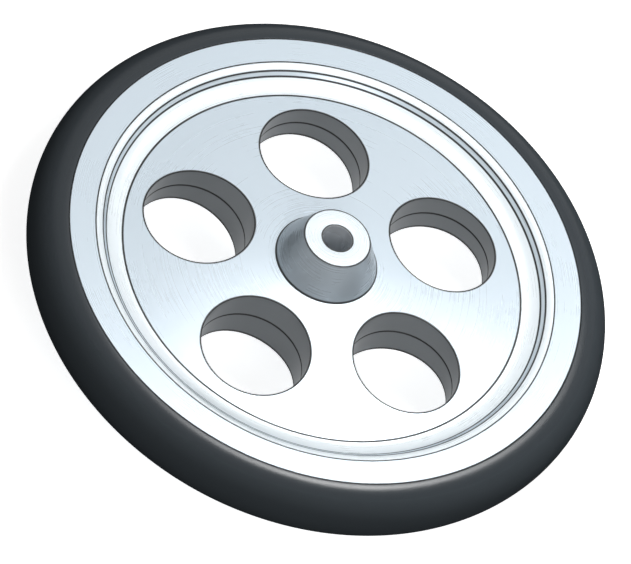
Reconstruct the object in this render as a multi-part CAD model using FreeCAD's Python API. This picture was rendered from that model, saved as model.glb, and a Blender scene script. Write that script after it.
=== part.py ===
"""Model aircraft wheel: a solid rubber tyre gripped between two turned hub halves.

The wheel lies flat, as it rests on a table. Its axle bore runs along +Z, the
plane where the two hub halves meet is Z = 0, and one lightening hole lies on
+X. Sizes are in millimetres and angles in degrees.
"""

import math
import os

import FreeCAD
import Part

# Overall sizes
WHEEL_DIAMETER = 80.0
RIM_WIDTH = 8.8
HUB_LENGTH = 19.9
BORE_DIAMETER = 4.0

# Boss, the cone that carries the axle bore on each side
BOSS_END_DIAMETER = 9.25
BOSS_ROOT_DIAMETER = 14.0

# Web, a shallow cone that falls from the boss to the rim
WEB_FALL_ANGLE = 5.8
WEB_RECESS_AT_RIM = 1.88

# Rim, a flat ring with a rounded lip, a sloping wall and a hollow cove inside it
RIM_FACE_BREADTH = 4.4
RIM_WALL_ANGLE = 41.3
LIP_ROUND = 1.7
COVE_ROUND = 3.3

# Lightening holes
HOLE_COUNT = 5
HOLE_DIAMETER = 14.9
HOLE_CIRCLE_DIAMETER = 35.6
HOLE_CHAMFER = 0.15

# Tongue inside the tyre, a neck that ends in a round bead
NECK_WIDTH = 2.8
BEAD_DIAMETER = 4.6
BEAD_CENTRE_DEPTH = 2.9
TONGUE_CLEARANCE = 0.05

# Spigot that centres one hub half in the other
SPIGOT_DIAMETER = 10.0
SPIGOT_LENGTH = 2.0
SPIGOT_CLEARANCE = 0.03
SPIGOT_END_RELIEF = 0.2

# Turned edges
EDGE_BREAK = 0.15

# Sizes that follow from the ones above
RIM_HALF_WIDTH = RIM_WIDTH / 2
TYRE_RADIUS = WHEEL_DIAMETER / 2
SEAT_RADIUS = TYRE_RADIUS - RIM_HALF_WIDTH
HUB_HALF_LENGTH = HUB_LENGTH / 2
BORE_RADIUS = BORE_DIAMETER / 2
HOLE_CIRCLE_RADIUS = HOLE_CIRCLE_DIAMETER / 2
BEAD_CENTRE_RADIUS = SEAT_RADIUS - BEAD_CENTRE_DEPTH
LIP_CORNER_RADIUS = SEAT_RADIUS - RIM_FACE_BREADTH
COVE_CORNER_RADIUS = LIP_CORNER_RADIUS - WEB_RECESS_AT_RIM / math.tan(math.radians(RIM_WALL_ANGLE))
COVE_CORNER_HEIGHT = RIM_HALF_WIDTH - WEB_RECESS_AT_RIM
WEB_SLOPE = math.tan(math.radians(WEB_FALL_ANGLE))

ORIGIN = FreeCAD.Vector(0, 0, 0)
AXLE = FreeCAD.Vector(0, 0, 1)
SIDEWAYS = FreeCAD.Vector(1, 0, 0)
FULL_TURN = 360
HALF_TURN = 180
SHARP = 0.0


def profile_point(radius, height):
    """Point of a turned profile, in the plane that holds the axle."""
    return FreeCAD.Vector(radius, 0, height)


def bend(before, corner, after, rounding):
    """Start, middle and end of the tangent arc that rounds a corner."""
    back = (before - corner).normalize()
    ahead = (after - corner).normalize()
    inward = (back + ahead).normalize()
    half_angle = back.getAngle(ahead) / 2
    reach = rounding / math.tan(half_angle)
    depth = rounding / math.sin(half_angle) - rounding
    return corner + back * reach, corner + inward * depth, corner + ahead * reach


def rounded_profile(corners):
    """Closed profile from (radius, height, rounding) corners."""
    points = [profile_point(radius, height) for radius, height, _ in corners]
    following = points[1:] + points[:1]
    edges = []
    bends = []
    for index, (_, _, rounding) in enumerate(corners):
        bends.append(bend(points[index - 1], points[index], following[index], rounding))
    for index, (start, middle, end) in enumerate(bends):
        last_end = bends[index - 1][2]
        edges.append(Part.LineSegment(last_end, start).toShape())
        if corners[index][2] > SHARP:
            edges.append(Part.Arc(start, middle, end).toShape())
    return Part.Face(Part.Wire(edges))


def turned(face):
    """Solid that a profile sweeps out in a full turn about the axle."""
    return face.revolve(ORIGIN, AXLE, FULL_TURN)


def ring(inner_radius, outer_radius, low, high):
    """Plain ring about the axle between two radii and two heights."""
    corners = [
        (inner_radius, low, SHARP),
        (outer_radius, low, SHARP),
        (outer_radius, high, SHARP),
        (inner_radius, high, SHARP),
    ]
    return turned(rounded_profile(corners))


def web_height(radius):
    """Height of the web's face above the middle plane at a radius."""
    return COVE_CORNER_HEIGHT + (COVE_CORNER_RADIUS - radius) * WEB_SLOPE


def tongue(clearance):
    """Neck and bead about the axle, grown by a clearance where they shape the hub's groove."""
    half_neck = NECK_WIDTH / 2 + clearance
    neck = ring(BEAD_CENTRE_RADIUS, SEAT_RADIUS + clearance, -half_neck, half_neck)
    bead = Part.makeTorus(BEAD_CENTRE_RADIUS, BEAD_DIAMETER / 2 + clearance)
    return neck.fuse(bead)


def lightening_hole(index):
    """Cutter for one lightening hole, straight along the axle and chamfered at the joint face."""
    angle = 2 * math.pi * index / HOLE_COUNT
    centre = FreeCAD.Vector(
        HOLE_CIRCLE_RADIUS * math.cos(angle),
        HOLE_CIRCLE_RADIUS * math.sin(angle),
        0,
    )
    radius = HOLE_DIAMETER / 2
    hole = Part.makeCylinder(radius, HUB_HALF_LENGTH, centre, AXLE)
    chamfer = Part.makeCone(radius + HOLE_CHAMFER, radius, HOLE_CHAMFER, centre, AXLE)
    return hole.fuse(chamfer)


def hub_half():
    """Hub half above the middle plane: turned, grooved for the tongue and drilled."""
    boss_root_radius = BOSS_ROOT_DIAMETER / 2
    corners = [
        (BORE_RADIUS, 0, SHARP),
        (BORE_RADIUS, HUB_HALF_LENGTH, EDGE_BREAK),
        (BOSS_END_DIAMETER / 2, HUB_HALF_LENGTH, EDGE_BREAK),
        (boss_root_radius, web_height(boss_root_radius), SHARP),
        (COVE_CORNER_RADIUS, COVE_CORNER_HEIGHT, COVE_ROUND),
        (LIP_CORNER_RADIUS, RIM_HALF_WIDTH, LIP_ROUND),
        (SEAT_RADIUS, RIM_HALF_WIDTH, EDGE_BREAK),
        (SEAT_RADIUS, 0, SHARP),
    ]
    half = turned(rounded_profile(corners)).cut(tongue(TONGUE_CLEARANCE))
    for index in range(HOLE_COUNT):
        half = half.cut(lightening_hole(index))
    return half


def outboard_hub_half():
    """Half on the +Z side, with the spigot below its joint face."""
    spigot_corners = [
        (BORE_RADIUS, 0, SHARP),
        (BORE_RADIUS, -SPIGOT_LENGTH, SHARP),
        (SPIGOT_DIAMETER / 2, -SPIGOT_LENGTH, EDGE_BREAK),
        (SPIGOT_DIAMETER / 2, 0, SHARP),
    ]
    return hub_half().fuse(turned(rounded_profile(spigot_corners))).removeSplitter()


def inboard_hub_half():
    """Half on the -Z side, with the socket that takes the spigot."""
    socket_depth = SPIGOT_LENGTH + SPIGOT_END_RELIEF
    socket_radius = SPIGOT_DIAMETER / 2 + SPIGOT_CLEARANCE
    socket_floor = FreeCAD.Vector(0, 0, -socket_depth)
    socket = Part.makeCylinder(socket_radius, socket_depth, socket_floor, AXLE)
    return hub_half().rotated(ORIGIN, SIDEWAYS, HALF_TURN).cut(socket)


def tyre():
    """Solid rubber tyre: a half-round crown, and the tongue that the hub halves grip."""
    side = profile_point(SEAT_RADIUS, RIM_HALF_WIDTH)
    other_side = profile_point(SEAT_RADIUS, -RIM_HALF_WIDTH)
    crown_arc = Part.Arc(side, profile_point(TYRE_RADIUS, 0), other_side).toShape()
    seat_line = Part.LineSegment(other_side, side).toShape()
    crown = turned(Part.Face(Part.Wire([crown_arc, seat_line])))
    return crown.fuse(tongue(0)).removeSplitter()


def main():
    """Build each piece and write it to its own STEP file."""
    os.makedirs("parts", exist_ok=True)
    pieces = {
        "outboard_hub_half": outboard_hub_half(),
        "inboard_hub_half": inboard_hub_half(),
        "tyre": tyre(),
    }
    for name, piece in pieces.items():
        piece.exportStep(os.path.join("parts", name + ".step"))
        print(f"{name}: {len(piece.Solids)} solid, {piece.Volume:.1f} cubic millimetres")


main()
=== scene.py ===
"""Looks of the model aircraft wheel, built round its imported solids.

Everything is in metres, in the frame of the solids: the wheel lies flat with
its axle along Z, its centre at the origin and one lightening hole on +X.
"""

import logging
import math
from dataclasses import dataclass
from enum import Enum
from typing import NamedTuple

import bmesh
import bpy
import numpy as np
from mathutils import Matrix, Vector


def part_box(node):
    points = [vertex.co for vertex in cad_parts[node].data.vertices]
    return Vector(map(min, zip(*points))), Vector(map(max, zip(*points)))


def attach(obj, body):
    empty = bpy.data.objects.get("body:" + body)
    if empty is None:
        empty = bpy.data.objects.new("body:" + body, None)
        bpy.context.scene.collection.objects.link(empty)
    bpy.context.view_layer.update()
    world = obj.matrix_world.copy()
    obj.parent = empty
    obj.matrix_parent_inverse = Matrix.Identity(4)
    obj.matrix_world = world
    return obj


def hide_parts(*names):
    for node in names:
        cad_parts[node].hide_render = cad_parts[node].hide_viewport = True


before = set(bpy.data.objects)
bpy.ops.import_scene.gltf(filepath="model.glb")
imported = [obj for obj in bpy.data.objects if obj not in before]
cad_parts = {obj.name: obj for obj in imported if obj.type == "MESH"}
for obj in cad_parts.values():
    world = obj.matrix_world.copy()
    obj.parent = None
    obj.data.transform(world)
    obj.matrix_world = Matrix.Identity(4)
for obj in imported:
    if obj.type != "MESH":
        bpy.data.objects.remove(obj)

LOG = logging.getLogger("wheel")
MM = 0.001
WELD_DISTANCE = 1e-7
SHADING_WEIGHT = 80
MID_NOISE = 0.5
HOLE_COUNT = 5
BORED = "bored"
EDGE = "edge"
FAR_FROM_EDGE = 10.0

Colour = tuple[float, float, float]


class Side(Enum):
    """Which way a hub half faces."""

    OUTBOARD = 1
    INBOARD = -1


class Channel(Enum):
    """Axes of a coordinate that a finish can read."""

    X = 0
    Y = 1
    Z = 2


class CutRadii(NamedTuple):
    """Radii where one turned cut meets the next, from the bore out to the ring face."""

    bore_edge: float
    end_edge: float
    root: float
    cove_foot: float
    cove_top: float
    lip_foot: float
    lip_top: float
    face_edge: float


class Shade:
    """A number socket of a shader that can be used in a Python expression."""

    def __init__(self, graph: "Graph", socket: bpy.types.NodeSocket) -> None:
        """Wraps one output socket of a graph's node."""
        self.graph = graph
        self.socket = socket

    def _math(self, operation: str, *values: "Shade | float") -> "Shade":
        """Adds one Math node on these values."""
        return self.graph.add("ShaderNodeMath", {"operation": operation}, dict(enumerate(values)))

    def __add__(self, other: "Shade | float") -> "Shade":
        """Sum."""
        return self._math("ADD", self, other)

    def __radd__(self, other: float) -> "Shade":
        """Sum with a number on the left."""
        return self._math("ADD", other, self)

    def __sub__(self, other: "Shade | float") -> "Shade":
        """Difference."""
        return self._math("SUBTRACT", self, other)

    def __rsub__(self, other: float) -> "Shade":
        """Difference from a number on the left."""
        return self._math("SUBTRACT", other, self)

    def __mul__(self, other: "Shade | float") -> "Shade":
        """Product."""
        return self._math("MULTIPLY", self, other)

    def root(self) -> "Shade":
        """Square root."""
        return self._math("SQRT", self)

    def larger(self, other: "Shade | float") -> "Shade":
        """The larger of two values."""
        return self._math("MAXIMUM", self, other)

    def smaller(self, other: "Shade | float") -> "Shade":
        """The smaller of two values."""
        return self._math("MINIMUM", self, other)

    def above(self, other: "Shade | float") -> "Shade":
        """1 where the value is over another, and 0 elsewhere."""
        return self._math("GREATER_THAN", self, other)

    def unsigned(self) -> "Shade":
        """The value without its sign."""
        return self._math("ABSOLUTE", self)

    def clamped(self) -> "Shade":
        """The value held between 0 and 1."""
        return self.larger(0.0).smaller(1.0)


class Graph:
    """Node tree of one material or world, emptied and ready for new nodes."""

    def __init__(self, tree: bpy.types.NodeTree) -> None:
        """Empties the tree."""
        self.tree = tree
        tree.nodes.clear()

    def add(self, kind: str, settings: dict, inputs: dict, output: int | str | None = 0) -> Shade | None:
        """Adds one node.

        Args:
            kind: The node's type.
            settings: The node's own properties, set before its sockets.
            inputs: Values or shades by socket name or number.
            output: The socket that the result stands for, or None for the tree's last node.

        Returns:
            The chosen output as a shade, or None.
        """
        node = self.tree.nodes.new(kind)
        for name, value in settings.items():
            setattr(node, name, value)
        for name, value in inputs.items():
            if isinstance(value, Shade):
                self.tree.links.new(value.socket, node.inputs[name])
            else:
                node.inputs[name].default_value = value
        return None if output is None else Shade(self, node.outputs[output])

    def place(self) -> Shade:
        """Object coordinates, in metres."""
        return self.add("ShaderNodeTexCoord", {}, {}, "Object")

    def channel(self, vector: Shade, axis: Channel) -> Shade:
        """One coordinate of a vector."""
        return self.add("ShaderNodeSeparateXYZ", {}, {0: vector}, axis.value)

    def noise(self, vector: Shade, grain: float, detail: float) -> Shade:
        """Cloudy noise of a vector, from 0 to 1, with patches about one grain wide."""
        inputs = {"Vector": vector, "Scale": 1 / grain, "Detail": detail}
        return self.add("ShaderNodeTexNoise", {}, inputs, "Fac")

    def bands(self, distance: Shade, width: float, detail: float) -> Shade:
        """Noise of one distance, from 0 to 1, as bands about one width apart."""
        inputs = {"W": distance, "Scale": 1 / width, "Detail": detail}
        return self.add("ShaderNodeTexNoise", {"noise_dimensions": "1D"}, inputs, "Fac")

    def attribute(self, name: str) -> Shade:
        """A number stored on the mesh's points."""
        return self.add("ShaderNodeAttribute", {"attribute_name": name}, {}, "Fac")

    def blend(self, share: Shade, first: Shade | Colour, second: Shade | Colour) -> Shade:
        """Colour between two colours, given as numbers or as shades."""
        ends = [end if isinstance(end, Shade) else (*end, 1.0) for end in (first, second)]
        return self.add("ShaderNodeMix", {"data_type": "RGBA"}, {0: share, 6: ends[0], 7: ends[1]}, 2)

    def bump(self, height: Shade, depth: float) -> Shade:
        """Normal of a surface whose height goes from 0 to one depth."""
        return self.add("ShaderNodeBump", {}, {"Height": height, "Distance": depth}, "Normal")


@dataclass(frozen=True)
class TurnedAluminium:
    """Fine-turned bare aluminium with rings about the axle; painted highlight on the rounds and boss end,
    painted shade on the sloping wall, boss side and bored walls.
    """

    cut_radii: CutRadii
    bright: Colour = (0.68, 0.775, 0.85)
    dull: Colour = (0.64, 0.735, 0.81)
    # Painted highlight: near-white colour on the lip and cove rounds and, at a share, on the boss end.
    painted_highlight: Colour = (0.88, 0.95, 0.99)
    # Painted shade: darker colour on the sloping wall between the cove and the lip.
    sloped_painted_shade: Colour = (0.58, 0.66, 0.72)
    # Painted shade: darker colour on the boss's sloping side.
    cone: Colour = (0.355, 0.400, 0.438)
    reamed: Colour = (0.62, 0.65, 0.68)
    # Painted shade: dark colours on the bored walls of the holes.
    bored: Colour = (0.140, 0.154, 0.165)
    bored_bright: Colour = (0.180, 0.197, 0.210)
    cut: Colour = (0.012, 0.013, 0.014)
    metallic: float = 0.30
    roughness: float = 0.28
    ring_roughness: float = 0.06
    cloud_roughness: float = 0.06
    bored_roughness: float = 0.12
    cut_roughness: float = 0.20
    fine_ring: float = 0.12 * MM
    middle_ring: float = 0.45 * MM
    coarse_ring: float = 2.2 * MM
    fine_share: float = 0.40
    middle_share: float = 0.35
    coarse_share: float = 0.25
    fine_detail: float = 1.0
    ring_detail: float = 2.0
    cloud: float = 7.0 * MM
    cloud_detail: float = 3.0
    cloud_share: float = 0.45
    end_share: float = 0.6
    ring_depth: float = 0.0002 * MM
    cut_half_width: float = 0.14 * MM
    foot_half_width: float = 0.19 * MM
    joint_half_width: float = 0.24 * MM
    line_fade: float = 2.0

    def material(self) -> bpy.types.Material:
        """Makes the material.

        Returns:
            A material whose rings follow the distance from the axle on turned faces and
            the height on bored walls.
        """
        material = bpy.data.materials.new("turned_aluminium")
        material.use_nodes = True
        graph = Graph(material.node_tree)
        place = graph.place()
        x = graph.channel(place, Channel.X)
        y = graph.channel(place, Channel.Y)
        z = graph.channel(place, Channel.Z)
        bored = graph.attribute(BORED)
        radius = (x * x + y * y).root()
        feed = radius * (1 - bored) + z * bored

        fine = graph.bands(feed, self.fine_ring, self.fine_detail)
        middle = graph.bands(feed, self.middle_ring, self.ring_detail)
        coarse = graph.bands(feed, self.coarse_ring, self.ring_detail)
        cloud = graph.noise(place, self.cloud, self.cloud_detail)
        rings = fine * self.fine_share + middle * self.middle_share + coarse * self.coarse_share
        tone = rings * (1 - self.cloud_share) + cloud * self.cloud_share

        cuts = self.cut_radii
        cove = self.between(radius, cuts.cove_foot, cuts.cove_top)
        lip = self.between(radius, cuts.lip_foot, cuts.lip_top)
        boss_end = self.between(radius, cuts.bore_edge, cuts.end_edge)
        # Painted highlight on the cove, the lip and the boss end.
        painted_highlight_share = cove + lip + boss_end * self.end_share
        faces = graph.blend(tone, self.dull, self.bright)
        faces = graph.blend(1 - radius.above(cuts.bore_edge), faces, self.reamed)
        # Painted shade on the boss's sloping side.
        faces = graph.blend(self.between(radius, cuts.end_edge, cuts.root), faces, self.cone)
        # Painted shade on the sloping wall.
        faces = graph.blend(self.between(radius, cuts.cove_top, cuts.lip_foot), faces, self.sloped_painted_shade)
        faces = graph.blend(painted_highlight_share, faces, self.painted_highlight)
        # Painted shade: the bored walls take dark colours.
        walls = graph.blend(tone, self.bored, self.bored_bright)
        plain = graph.blend(bored, faces, walls)
        cut_line = self.cut_line(radius, z, bored, graph.attribute(EDGE))
        unevenness = (rings - MID_NOISE) * self.ring_roughness + (cloud - MID_NOISE) * self.cloud_roughness
        dulling = bored * self.bored_roughness + cut_line * self.cut_roughness
        shader = graph.add("ShaderNodeBsdfPrincipled", {}, {
            "Base Color": graph.blend(cut_line, plain, self.cut),
            "Metallic": self.metallic,
            "Roughness": self.roughness + unevenness + dulling,
            "Normal": graph.bump(rings, self.ring_depth),
        })
        graph.add("ShaderNodeOutputMaterial", {}, {"Surface": shader}, None)
        return material

    def between(self, radius: Shade, inner: float, outer: float) -> Shade:
        """1 between two distances from the axle, and 0 elsewhere."""
        return radius.above(inner) * (1 - radius.above(outer))

    def cut_line(self, radius: Shade, height: Shade, bored: Shade, from_edge: Shade) -> Shade:
        """Marks the fine lines where one cut meets the next, and the joint inside the bored walls.

        Each mark is 1 over the inner half of its line and falls evenly to 0 at its sides.
        The lines lie at the cuts' radii on turned faces, along the holes' edges, and at
        the middle plane on bored walls. The line where the cove begins is wider than the others.

        Args:
            radius: Distance from the axle.
            height: Height above the middle plane.
            bored: 1 on bored walls.
            from_edge: Distance from a hole's edge, in widths of the line there.

        Returns:
            The marks, from 0 to 1.
        """
        cuts = self.cut_radii
        nearest = (radius - cuts.bore_edge).unsigned()
        for other in cuts[1:]:
            nearest = nearest.smaller((radius - other).unsigned())
        across_foot = (radius - cuts.cove_foot).unsigned() * (self.line_fade / self.foot_half_width)
        across_cut = (nearest * (self.line_fade / self.cut_half_width)).smaller(across_foot)
        across_joint = height.unsigned() * (self.line_fade / self.joint_half_width)
        across_edge = from_edge * self.line_fade
        across = (across_cut * (1 - bored) + across_joint * bored).smaller(across_edge)
        return (self.line_fade - across).clamped()


@dataclass(frozen=True)
class TyreRubber:
    """Smooth moulded rubber: a fine skin grain, a faint bloom, a coat of polish at the rim's edge, and
    painted shade that darkens the middle of the tread.
    """

    half_width: float
    # Painted shade: crown is the darker colour in the middle of the tread, side the lighter one towards the
    # rim.
    crown: Colour = (0.051, 0.061, 0.069)
    side: Colour = (0.060, 0.070, 0.079)
    edge: Colour = (0.0080, 0.0160, 0.0230)
    bloom: Colour = (0.061, 0.071, 0.080)
    bloom_share: float = 0.20
    specular: float = 0.0
    roughness: float = 0.52
    grain_roughness: float = 0.14
    patch_roughness: float = 0.12
    coat_roughness: float = 0.27
    edge_start: float = 0.86
    edge_full: float = 0.98
    grain: float = 0.16 * MM
    grain_share: float = 0.25
    grain_detail: float = 2.0
    patch: float = 5.0 * MM
    patch_detail: float = 4.0
    grain_depth: float = 0.006 * MM

    def material(self) -> bpy.types.Material:
        """Makes the material.

        Returns:
            A near-black material whose grain is in its bump and roughness.
        """
        material = bpy.data.materials.new("tyre_rubber")
        material.use_nodes = True
        graph = Graph(material.node_tree)
        place = graph.place()
        grain = graph.noise(place, self.grain, self.grain_detail)
        patch = graph.noise(place, self.patch, self.patch_detail)
        tone = patch * (1 - self.grain_share) + grain * self.grain_share
        height = graph.channel(place, Channel.Z).unsigned() * (1 / self.half_width)
        rise = 1 / (self.edge_full - self.edge_start)
        polish = ((height - self.edge_start) * rise).clamped()
        # Painted shade: darker in the middle of the tread, lighter towards the rim.
        wall = graph.blend(height * height, self.crown, self.side)
        clouded = graph.blend(tone * self.bloom_share, wall, self.bloom)
        unevenness = (grain - MID_NOISE) * self.grain_roughness + (patch - MID_NOISE) * self.patch_roughness
        shader = graph.add("ShaderNodeBsdfPrincipled", {}, {
            "Base Color": graph.blend(polish, clouded, self.edge),
            "Specular IOR Level": self.specular,
            "Roughness": self.roughness + unevenness,
            "Coat Weight": polish,
            "Coat Roughness": self.coat_roughness,
            "Normal": graph.bump(grain, self.grain_depth),
        })
        graph.add("ShaderNodeOutputMaterial", {}, {"Surface": shader}, None)
        return material


@dataclass(frozen=True)
class PaleFloor:
    """Plain white floor that keeps a soft shadow."""

    bounced: Colour = (0.20, 0.20, 0.20)
    shaded: Colour = (0.90, 0.90, 0.90)
    white: float = 0.80

    def material(self) -> bpy.types.Material:
        """Makes the material.

        Returns:
            A matt material that shines white to the camera and to reflections, under its shadow.
        """
        material = bpy.data.materials.new("pale_floor")
        material.use_nodes = True
        graph = Graph(material.node_tree)
        camera = graph.add("ShaderNodeLightPath", {}, {}, "Is Camera Ray")
        glossy = graph.add("ShaderNodeLightPath", {}, {}, "Is Glossy Ray")
        plain = graph.add("ShaderNodeBsdfDiffuse", {}, {"Color": (*self.bounced, 1.0)})
        pale = graph.add("ShaderNodeBsdfDiffuse", {}, {"Color": (*self.shaded, 1.0)})
        white = graph.add("ShaderNodeEmission", {}, {"Strength": self.white})
        seen = graph.add("ShaderNodeAddShader", {}, {0: pale, 1: white})
        shown = graph.add("ShaderNodeMixShader", {}, {0: camera.larger(glossy), 1: plain, 2: seen})
        graph.add("ShaderNodeOutputMaterial", {}, {"Surface": shown}, None)
        return material


class Profile:
    """Open line of a turned shape as radius and height pairs, with rounded corners."""

    def __init__(self, arc_steps: int) -> None:
        """Starts an empty line whose arcs have this many steps."""
        self.arc_steps = arc_steps
        self.corners: list[tuple[float, float, float]] = []

    def to(self, radius: float, height: float, rounding: float = 0.0) -> "Profile":
        """Adds a corner and gives the profile back."""
        self.corners.append((radius, height, rounding))
        return self

    def points(self) -> np.ndarray:
        """Works out the line.

        Each corner's arc touches both of its straight runs. Its points turn evenly from the
        first tangent point to the second about the arc's centre.

        Returns:
            Radius and height pairs, one row each.
        """
        flat = np.array(self.corners)
        spots, rounds = flat[:, :2], flat[:, 2]
        runs = [spots[:1]]
        for index in range(1, len(spots) - 1):
            runs.append(self._arc(spots[index - 1], spots[index], spots[index + 1], rounds[index]))
        runs.append(spots[-1:])
        return np.concatenate(runs)

    def _arc(self, before: np.ndarray, corner: np.ndarray, after: np.ndarray, rounding: float) -> np.ndarray:
        """Points of the tangent arc at one corner, or the corner itself where it is sharp."""
        if rounding == 0:
            return corner[None]
        back = (before - corner) / np.linalg.norm(before - corner)
        ahead = (after - corner) / np.linalg.norm(after - corner)
        half = math.acos(float(np.clip(back @ ahead, -1, 1))) / 2
        inward = (back + ahead) / np.linalg.norm(back + ahead)
        centre = corner + inward * rounding / math.sin(half)
        start = corner + back * rounding / math.tan(half) - centre
        end = corner + ahead * rounding / math.tan(half) - centre
        sweep = math.pi - 2 * half
        share = np.linspace(0, 1, self.arc_steps + 1)[:, None]
        turn = (start * np.sin((1 - share) * sweep) + end * np.sin(share * sweep)) / math.sin(sweep)
        return centre + turn


class Shell:
    """Closed surface put together from grids of points with marks for the finish."""

    def __init__(self) -> None:
        """Starts with no grids."""
        self.points: list[np.ndarray] = []
        self.faces: list[np.ndarray] = []
        self.marks: dict[str, list[np.ndarray]] = {BORED: [], EDGE: []}
        self.count = 0

    def grid(self, points: np.ndarray, round_rows: bool = False, round_columns: bool = False,
             bored: np.ndarray | float = 0.0, edge: np.ndarray | float = FAR_FROM_EDGE) -> None:
        """Adds a grid of points as quads.

        Args:
            points: Rows by columns by three coordinates.
            round_rows: Whether the last row joins the first.
            round_columns: Whether the last column joins the first.
            bored: Marks, 1 on a bored wall, for the whole grid or for each row or point.
            edge: Distances from a hole's edge, in widths of the line there, given the same way.
        """
        rows, columns = points.shape[:2]
        numbers = np.arange(rows * columns).reshape(rows, columns) + self.count
        if round_rows:
            numbers = np.concatenate([numbers, numbers[:1]])
        if round_columns:
            numbers = np.concatenate([numbers, numbers[:, :1]], axis=1)
        quads = np.stack([numbers[:-1, :-1], numbers[:-1, 1:], numbers[1:, 1:], numbers[1:, :-1]], axis=-1)
        self.points.append(points.reshape(-1, 3))
        self.faces.append(quads.reshape(-1, 4))
        for name, mark in ((BORED, bored), (EDGE, edge)):
            self.marks[name].append(np.broadcast_to(mark, (rows, columns)).ravel())
        self.count += rows * columns

    def piece(self, name: str, material: bpy.types.Material) -> bpy.types.Object:
        """Welds the grids into one closed mesh whose faces point outwards.

        Args:
            name: The piece's name.
            material: Its finish.

        Returns:
            The new object, at the origin.
        """
        mesh = bpy.data.meshes.new(name)
        mesh.from_pydata(np.concatenate(self.points).tolist(), [], np.concatenate(self.faces).tolist())
        for mark_name, marks in self.marks.items():
            mark = mesh.attributes.new(mark_name, "FLOAT", "POINT")
            mark.data.foreach_set("value", np.concatenate(marks).astype(np.float32))
        work = bmesh.new()
        work.from_mesh(mesh)
        bmesh.ops.remove_doubles(work, verts=work.verts, dist=WELD_DISTANCE)
        bmesh.ops.recalc_face_normals(work, faces=work.faces)
        open_edges = sum(not edge.is_manifold for edge in work.edges)
        work.to_mesh(mesh)
        work.free()
        mesh.shade_smooth()
        mesh.materials.append(material)
        piece = bpy.data.objects.new(name, mesh)
        bpy.context.scene.collection.objects.link(piece)
        weighting = piece.modifiers.new("even_shading", "WEIGHTED_NORMAL")
        weighting.weight = SHADING_WEIGHT
        LOG.info("%s: %d faces, %d open edges", name, len(mesh.polygons), open_edges)
        return piece


def turned_grid(line: np.ndarray, azimuths: np.ndarray) -> np.ndarray:
    """Surface of revolution: each profile point at radius r and height h goes round the axle.

    Args:
        line: Radius and height pairs.
        azimuths: Angles about the axle.

    Returns:
        A grid with one row for each profile point, x = r cos a, y = r sin a and z = h.
    """
    radius, height = line[:, :1], line[:, 1:]
    return np.stack([radius * np.cos(azimuths), radius * np.sin(azimuths), height + 0 * azimuths], axis=-1)


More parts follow.
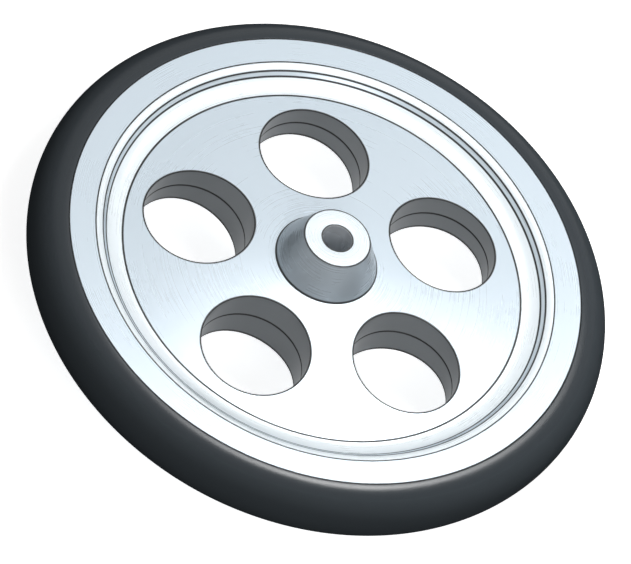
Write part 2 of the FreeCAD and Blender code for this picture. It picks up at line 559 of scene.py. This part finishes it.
@dataclass
class HubHalf:
    """One turned hub half with its lightening holes, in the solids' own sizes."""

    side: Side
    seat_radius: float
    rim_half_width: float
    half_length: float
    bore_radius: float = 2.0 * MM
    boss_end_radius: float = 4.625 * MM
    boss_root_radius: float = 7.0 * MM
    boss_root_round: float = 0.12 * MM
    web_fall: float = math.radians(5.8)
    web_recess: float = 1.88 * MM
    rim_face_breadth: float = 4.4 * MM
    wall_angle: float = math.radians(41.3)
    lip_round: float = 1.7 * MM
    cove_round: float = 3.3 * MM
    hole_radius: float = 7.45 * MM
    hole_circle_radius: float = 17.8 * MM
    hole_edge: float = 0.07 * MM
    joint_edge: float = 0.15 * MM
    edge_break: float = 0.15 * MM
    neck_half_width: float = 1.45 * MM
    bead_radius: float = 2.35 * MM
    bead_centre_depth: float = 2.9 * MM
    face_line: float = 0.23 * MM
    near_wall_line: float = 0.02 * MM
    far_wall_line: float = 0.45 * MM
    spigot_radius: float = 5.0 * MM
    spigot_length: float = 2.0 * MM
    spigot_clearance: float = 0.03 * MM
    spigot_end_relief: float = 0.2 * MM
    sector_steps: int = 64
    radial_steps: int = 22
    patch_rows: int = 12
    row_crowding: float = 1.6
    wall_rows: int = 4
    arc_steps: int = 12
    small_arc_steps: int = 6
    bead_steps: int = 36

    @property
    def lip_corner(self) -> tuple[float, float]:
        """Radius and height where the ring face's line meets the sloping wall's."""
        return self.seat_radius - self.rim_face_breadth, self.rim_half_width

    @property
    def cove_corner(self) -> tuple[float, float]:
        """Radius and height where the sloping wall's line meets the web's."""
        radius, height = self.lip_corner
        return radius - self.web_recess / math.tan(self.wall_angle), height - self.web_recess

    def web_height(self, radius: np.ndarray | float) -> np.ndarray | float:
        """Height of the web's cone at a distance from the axle."""
        corner_radius, corner_height = self.cove_corner
        return corner_height + (corner_radius - radius) * math.tan(self.web_fall)

    @property
    def mid_web(self) -> tuple[float, float]:
        """Radius and height of the point on the web that both lines of the profile head for."""
        radius = self.seat_radius / 2
        return radius, self.web_height(radius)

    @property
    def cut_radii(self) -> CutRadii:
        """Radii where one turned cut meets the next, from the bore out to the ring face."""
        half_lip = self.lip_round * math.tan(self.wall_angle / 2)
        half_cove = self.cove_round * math.tan((self.wall_angle + self.web_fall) / 2)
        lip_radius, cove_radius = self.lip_corner[0], self.cove_corner[0]
        return CutRadii(
            bore_edge=self.bore_radius + self.edge_break,
            end_edge=self.boss_end_radius - self.edge_break / 2,
            root=self.boss_root_radius,
            cove_foot=cove_radius - half_cove * math.cos(self.web_fall),
            cove_top=cove_radius + half_cove * math.cos(self.wall_angle),
            lip_foot=lip_radius - half_lip * math.cos(self.wall_angle),
            lip_top=lip_radius + half_lip,
            face_edge=self.seat_radius - self.edge_break / 2,
        )

    @property
    def azimuths(self) -> np.ndarray:
        """Angles of every turned grid, with each sector's edges among them."""
        steps = self.sector_steps * HOLE_COUNT
        return (np.arange(steps) / self.sector_steps - 0.5) * 2 * math.pi / HOLE_COUNT

    def rim_line(self) -> np.ndarray:
        """Profile from the web's edge over the cove, lip and ring face to the tyre's groove."""
        groove_centre = self.seat_radius - self.bead_centre_depth
        neck_angle = math.asin(self.neck_half_width / self.bead_radius)
        outer = Profile(self.arc_steps)
        outer.to(*self.mid_web)
        outer.to(*self.cove_corner, self.cove_round)
        outer.to(*self.lip_corner, self.lip_round)
        outer.to(self.seat_radius, self.rim_half_width, self.edge_break)
        outer.to(self.seat_radius, self.neck_half_width)
        turn = np.linspace(neck_angle, math.pi, self.bead_steps)[:, None]
        bead = np.hstack([np.cos(turn), np.sin(turn)]) * self.bead_radius + [groove_centre, 0]
        return np.concatenate([outer.points()[1:], bead])

    def boss_line(self) -> np.ndarray:
        """Profile from the joint face through the bore and over the boss to the web."""
        if self.side is Side.OUTBOARD:
            stub_radius, stub_height = self.spigot_radius, -self.spigot_length
        else:
            stub_radius = self.spigot_radius + self.spigot_clearance
            stub_height = self.spigot_length + self.spigot_end_relief
        inner = Profile(self.small_arc_steps)
        inner.to(stub_radius, 0)
        inner.to(stub_radius, stub_height, self.joint_edge)
        inner.to(self.bore_radius, stub_height, self.joint_edge)
        inner.to(self.bore_radius, self.half_length, self.edge_break)
        inner.to(self.boss_end_radius, self.half_length, self.edge_break)
        inner.to(self.boss_root_radius, self.web_height(self.boss_root_radius), self.boss_root_round)
        inner.to(*self.mid_web)
        return inner.points()[:-1]

    def sector_edge(self, inner_radius: float, outer_radius: float) -> np.ndarray:
        """Outline of one hole's sector, round from the outer arc's start.

        The outline runs along the outer arc, in along one side, back along the inner arc
        and out along the other side, with even steps on each.

        Args:
            inner_radius: The sector's inner arc.
            outer_radius: The sector's outer arc.

        Returns:
            Points of the outline, x and y, without the first one repeated.
        """
        half = math.pi / HOLE_COUNT
        arc = np.linspace(-half, half, self.sector_steps + 1)[:-1]
        side = np.linspace(0, 1, self.radial_steps + 1)[:-1]
        inward = outer_radius + (inner_radius - outer_radius) * side
        outward = inner_radius + (outer_radius - inner_radius) * side
        outer_arc = np.full(arc.size, outer_radius)
        inner_arc = np.full(arc.size, inner_radius)
        radius = np.concatenate([outer_arc, inward, inner_arc, outward])
        angle = np.concatenate([arc, np.full(side.size, half), -arc, np.full(side.size, -half)])
        return np.stack([radius * np.cos(angle), radius * np.sin(angle)], axis=-1)

    def headings(self, outline: np.ndarray) -> np.ndarray:
        """Directions from the hole's centre to the outline's points, increasing all the way round."""
        return np.unwrap(np.arctan2(outline[:, 1], outline[:, 0] - self.hole_circle_radius))

    def hole_ring(self, headings: np.ndarray, radius: np.ndarray | float) -> np.ndarray:
        """Points of a circle about the hole's centre, x and y."""
        x = self.hole_circle_radius + radius * np.cos(headings)
        return np.stack([x, radius * np.sin(headings)], axis=-1)

    def holed_face(self, outline: np.ndarray, edge: float) -> np.ndarray:
        """Flat plan of one sector's face, from the hole's edge out to the outline.

        Each column goes straight from the hole's rim to an outline point, and its rows
        stand closer together near the hole.

        Args:
            outline: The sector's outline.
            edge: How far outside the hole's wall the face begins.

        Returns:
            A grid of x and y.
        """
        rim = self.hole_ring(self.headings(outline), self.hole_radius + edge)
        share = np.linspace(0, 1, self.patch_rows)[:, None, None] ** self.row_crowding
        return rim + (outline - rim) * share

    def hole_wall(self, upper: np.ndarray, lower: np.ndarray) -> np.ndarray:
        """Wall of the hole, from its rounded upper edge to its rounded edge at the joint.

        A quarter round leaves the web's cone and turns down into the wall, the wall is
        straight along the axle, and another quarter round turns out into the joint face.

        Args:
            upper: Outline of the web's sector.
            lower: Outline of the joint face's sector.

        Returns:
            A grid with its columns round the hole.
        """
        quarter = np.linspace(0, math.pi / 2, self.small_arc_steps + 1)
        straight = np.linspace(0, 1, self.wall_rows + 2)[1:-1]
        share = np.concatenate([0 * quarter, straight, 0 * quarter + 1])[:, None]
        reach = np.concatenate([
            self.hole_edge * (1 - np.sin(quarter)),
            0 * straight,
            self.joint_edge * (1 - np.cos(quarter)),
        ])[:, None]
        headings = (1 - share) * self.headings(upper) + share * self.headings(lower)
        plan = self.hole_ring(headings, self.hole_radius + reach)
        top = self.web_height(np.hypot(plan[..., 0], plan[..., 1]))
        edge_drop = self.hole_edge * (1 - np.cos(quarter))[:, None]
        bottom = self.joint_edge * (1 - np.sin(quarter))[:, None] + 0 * plan[:quarter.size, :, 0]
        upper_rows = top[:quarter.size] - edge_drop
        span = straight[:, None]
        wall_rows = upper_rows[-1:] * (1 - span) + bottom[:1] * span
        height = np.concatenate([upper_rows, wall_rows, bottom])
        return np.concatenate([plan, height[..., None]], axis=-1)

    def spin(self, grid: np.ndarray, index: int) -> np.ndarray:
        """Grid turned about the axle to one of the holes."""
        angle = 2 * math.pi * index / HOLE_COUNT
        turn = np.array(Matrix.Rotation(angle, 3, "Z"))
        return grid @ turn.T

    def build(self, name: str, material: bpy.types.Material) -> bpy.types.Object:
        """Builds the half as one closed mesh.

        Args:
            name: The piece's name.
            material: Its finish.

        Returns:
            The piece.
        """
        facing = np.array([1, self.side.value, self.side.value])
        shell = Shell()
        rim, boss = self.rim_line(), self.boss_line()
        web_outline = self.sector_edge(boss[-1, 0], rim[0, 0])
        joint_outline = self.sector_edge(boss[0, 0], rim[-1, 0])
        web = self.holed_face(web_outline, self.hole_edge)
        web = np.concatenate([web, self.web_height(np.hypot(web[..., :1], web[..., 1:]))], axis=-1)
        joint = self.holed_face(joint_outline, self.joint_edge)
        joint = np.concatenate([joint, 0 * joint[..., :1]], axis=-1)
        wall = self.hole_wall(web_outline, joint_outline)

        shell.grid(turned_grid(rim, self.azimuths) * facing, round_columns=True)
        shell.grid(turned_grid(boss, self.azimuths) * facing, round_columns=True)
        from_centre = np.hypot(web[..., 0] - self.hole_circle_radius, web[..., 1])
        from_rim = (from_centre - self.hole_radius - self.hole_edge) / self.face_line
        wall_line = self.near_wall_line if self.side is Side.OUTBOARD else self.far_wall_line
        below_edge = np.maximum(wall[self.small_arc_steps, :, 2] - wall[..., 2], 0) / wall_line
        for index in range(HOLE_COUNT):
            shell.grid(self.spin(web, index) * facing, round_columns=True, edge=from_rim)
            shell.grid(self.spin(joint, index) * facing, round_columns=True)
            shell.grid(self.spin(wall, index) * facing, round_columns=True, bored=1.0, edge=below_edge)
        return shell.piece(name, material)


@dataclass
class Tyre:
    """Solid tyre with a half-round crown and a beaded tongue."""

    seat_radius: float
    crown_radius: float
    edge_round: float = 0.05 * MM
    neck_half_width: float = 1.4 * MM
    bead_radius: float = 2.3 * MM
    bead_centre_depth: float = 2.9 * MM
    round_steps: int = 360
    crown_steps: int = 72
    edge_steps: int = 8
    bead_steps: int = 24

    def outer_half(self) -> np.ndarray:
        """Upper half of the profile, from the middle of the crown to the middle of the bead.

        The crown is a circle about the seat. A small arc joins it to the seat's line: its
        centre is one edge round out from the seat, and one edge round less than the crown's
        radius away from the crown's centre.

        Returns:
            Radius and height pairs.
        """
        small, large = self.edge_round, self.crown_radius
        lift = math.sqrt(large * large - 2 * large * small)
        last = math.atan2(lift, small)
        crown_turn = np.linspace(0, last, self.crown_steps)[:, None]
        crown = np.hstack([np.cos(crown_turn), np.sin(crown_turn)]) * large + [self.seat_radius, 0]
        edge_turn = np.linspace(last, math.pi, self.edge_steps)[1:, None]
        edge = np.hstack([np.cos(edge_turn), np.sin(edge_turn)]) * small + [self.seat_radius + small, lift]
        neck_angle = math.asin(self.neck_half_width / self.bead_radius)
        bead_turn = np.linspace(neck_angle, math.pi, self.bead_steps)[:, None]
        bead_centre = [self.seat_radius - self.bead_centre_depth, 0]
        bead = np.hstack([np.cos(bead_turn), np.sin(bead_turn)]) * self.bead_radius + bead_centre
        neck = np.array([[self.seat_radius, self.neck_half_width]])
        return np.concatenate([crown, edge, neck, bead])

    def build(self, name: str, material: bpy.types.Material) -> bpy.types.Object:
        """Builds the tyre as one closed ring.

        Args:
            name: The piece's name.
            material: Its finish.

        Returns:
            The piece.
        """
        upper = self.outer_half()
        lower = upper[-2:0:-1] * [1, -1]
        azimuths = np.arange(self.round_steps) * 2 * math.pi / self.round_steps
        shell = Shell()
        shell.grid(turned_grid(np.concatenate([upper, lower]), azimuths), round_rows=True, round_columns=True)
        return shell.piece(name, material)


@dataclass(frozen=True)
class Softbox:
    """One square studio light and the spot that it faces."""

    name: str
    direction: Vector
    power: float
    distance: float = 0.60
    size: float = 0.25
    spot: tuple[float, float, float] | Vector = (0.0, 0.0, 0.0)

    def place(self) -> None:
        """Adds the light at its distance from the spot."""
        data = bpy.data.lights.new(self.name, "AREA")
        data.shape = "SQUARE"
        data.size = self.size
        data.energy = self.power
        light = bpy.data.objects.new(self.name, data)
        bpy.context.scene.collection.objects.link(light)
        light.location = self.direction * self.distance + Vector(self.spot)
        light.rotation_mode = "QUATERNION"
        light.rotation_quaternion = (-self.direction).to_track_quat("-Z", "Y")


@dataclass(frozen=True)
class Sheen:
    """A small light close to the wheel that shows in the tyre's shoulder."""

    name: str
    heading: float
    tilt: float
    power: float
    distance: float = 0.14
    size: float = 0.03

    def softbox(self, seat_radius: float, crown_radius: float, camera_side: Vector) -> Softbox:
        """Works out the light.

        Its spot is on the crown at the heading, in degrees from +X about the axle, where
        the normal leans outwards by the tilt. The light stands where the direction of the
        camera is mirrored to at that normal.

        Args:
            seat_radius: Distance of the crown's centre from the axle.
            crown_radius: Radius of the crown.
            camera_side: Direction from the wheel to the camera.

        Returns:
            The light.
        """
        around, lean = math.radians(self.heading), math.radians(self.tilt)
        outward = Vector((math.cos(around), math.sin(around), 0))
        normal = outward * math.sin(lean) + Vector((0, 0, math.cos(lean)))
        spot = outward * seat_radius + normal * crown_radius
        mirrored = 2 * normal.dot(camera_side) * normal - camera_side
        return Softbox(self.name, mirrored, self.power, self.distance, self.size, spot)


def away(azimuth: float, elevation: float) -> Vector:
    """Direction from the wheel to a place seen at these degrees; azimuth 0 is towards -Y."""
    around, above = math.radians(azimuth), math.radians(elevation)
    flat = math.cos(above)
    return Vector((math.sin(around) * flat, -math.cos(around) * flat, math.sin(above)))


@dataclass(frozen=True)
class PhotoView:
    """Parallel view of the photograph, measured from the wheel's ellipses."""

    azimuth: float = 27.55
    elevation: float = 51.214
    roll: float = 27.73
    pixels_per_metre: float = 7530.0
    frame_width: int = 631
    frame_height: int = 564
    centre_column: float = 315.73
    centre_row: float = 279.74
    distance: float = 0.6

    def place(self) -> bpy.types.Object:
        """Adds the camera so that the wheel's centre falls on its pixel.

        Returns:
            The camera.
        """
        data = bpy.data.cameras.new("photo_view")
        data.type = "ORTHO"
        data.ortho_scale = self.frame_width / self.pixels_per_metre
        camera = bpy.data.objects.new("photo_view", data)
        bpy.context.scene.collection.objects.link(camera)
        back = away(self.azimuth, self.elevation)
        level = Vector((math.cos(math.radians(self.azimuth)), math.sin(math.radians(self.azimuth)), 0))
        rise = back.cross(level)
        lean = math.radians(self.roll)
        right = level * math.cos(lean) + rise * math.sin(lean)
        up = rise * math.cos(lean) - level * math.sin(lean)
        across = (self.centre_column - self.frame_width / 2) / self.pixels_per_metre
        down = (self.centre_row - self.frame_height / 2) / self.pixels_per_metre
        turn = Matrix((right, up, back)).transposed().to_4x4()
        camera.matrix_world = Matrix.Translation(back * self.distance - right * across + up * down) @ turn
        bpy.context.scene.camera = camera
        return camera


@dataclass
class Studio:
    """Pale floor, white surroundings and soft lights."""

    floor_height: float
    seat_radius: float
    crown_radius: float
    camera_side: Vector
    floor_reach: float = 6.0
    surround_level: float = 0.207
    softboxes: tuple[tuple[str, float, float, float], ...] = (
        ("key_softbox", 57.55, 40.0, 0.84),
        ("fill_softbox", 207.55, 60.0, 0.058),
    )
    sheens: tuple[Sheen, ...] = (
        Sheen("right_sheen", 12.5, 5.5, 0.0125),
        Sheen("lower_right_sheen", -12.0, 6.0, 0.0230),
        Sheen("corner_sheen", -34.5, 7.0, 0.0440),
        Sheen("lower_sheen", -57.0, 6.0, 0.0295),
        Sheen("near_sheen", -75.0, 2.5, 0.0045),
    )

    def build(self) -> None:
        """Adds the floor, the world and the lights."""
        self._floor()
        self._world()
        for name, azimuth, elevation, power in self.softboxes:
            Softbox(name, away(azimuth, elevation), power).place()
        for sheen in self.sheens:
            sheen.softbox(self.seat_radius, self.crown_radius, self.camera_side).place()

    def _floor(self) -> None:
        """Adds the floor under the wheel."""
        reach = self.floor_reach
        corners = [(-reach, -reach), (reach, -reach), (reach, reach), (-reach, reach)]
        mesh = bpy.data.meshes.new("floor")
        mesh.from_pydata([(x, y, self.floor_height) for x, y in corners], [], [(0, 1, 2, 3)])
        mesh.materials.append(PaleFloor().material())
        floor = bpy.data.objects.new("floor", mesh)
        bpy.context.scene.collection.objects.link(floor)

    def _world(self) -> None:
        """Sets the world: even light, shown as plain white to the camera and reflections."""
        world = bpy.data.worlds.new("studio")
        world.use_nodes = True
        bpy.context.scene.world = world
        graph = Graph(world.node_tree)
        camera = graph.add("ShaderNodeLightPath", {}, {}, "Is Camera Ray")
        glossy = graph.add("ShaderNodeLightPath", {}, {}, "Is Glossy Ray")
        level = self.surround_level
        light = graph.add("ShaderNodeBackground", {}, {"Color": (level, level, level, 1.0)})
        white = graph.add("ShaderNodeBackground", {}, {"Color": (1.0, 1.0, 1.0, 1.0)})
        shown = graph.add("ShaderNodeMixShader", {}, {0: camera.larger(glossy), 1: light, 2: white})
        graph.add("ShaderNodeOutputWorld", {}, {"Surface": shown}, None)


def main() -> None:
    """Builds the wheel's pieces and the studio round them."""
    logging.basicConfig(level=logging.INFO, format="%(name)s %(message)s")
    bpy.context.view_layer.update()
    _, half_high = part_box("outboard_hub_half")
    _, tyre_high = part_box("tyre")
    seat_radius, half_length = half_high.x, half_high.z
    rim_half_width = tyre_high.z

    view = PhotoView()
    view.place()
    camera_side = away(view.azimuth, view.elevation)
    Studio(-half_length, seat_radius, rim_half_width, camera_side).build()

    sizes = {"seat_radius": seat_radius, "rim_half_width": rim_half_width, "half_length": half_length}
    aluminium = TurnedAluminium(HubHalf(side=Side.OUTBOARD, **sizes).cut_radii).material()
    for side, name, node in (
        (Side.OUTBOARD, "outboard_hub", "outboard_hub_half"),
        (Side.INBOARD, "inboard_hub", "inboard_hub_half"),
    ):
        half = HubHalf(side=side, **sizes).build(name, aluminium)
        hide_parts(node)
        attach(half, "root")

    tyre = Tyre(seat_radius=seat_radius, crown_radius=rim_half_width)
    rubber = tyre.build("solid_tyre", TyreRubber(rim_half_width).material())
    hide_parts("tyre")
    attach(rubber, "root")

    settings = bpy.context.scene.view_settings
    settings.view_transform = "Standard"


if __name__ == "__main__":
    main()
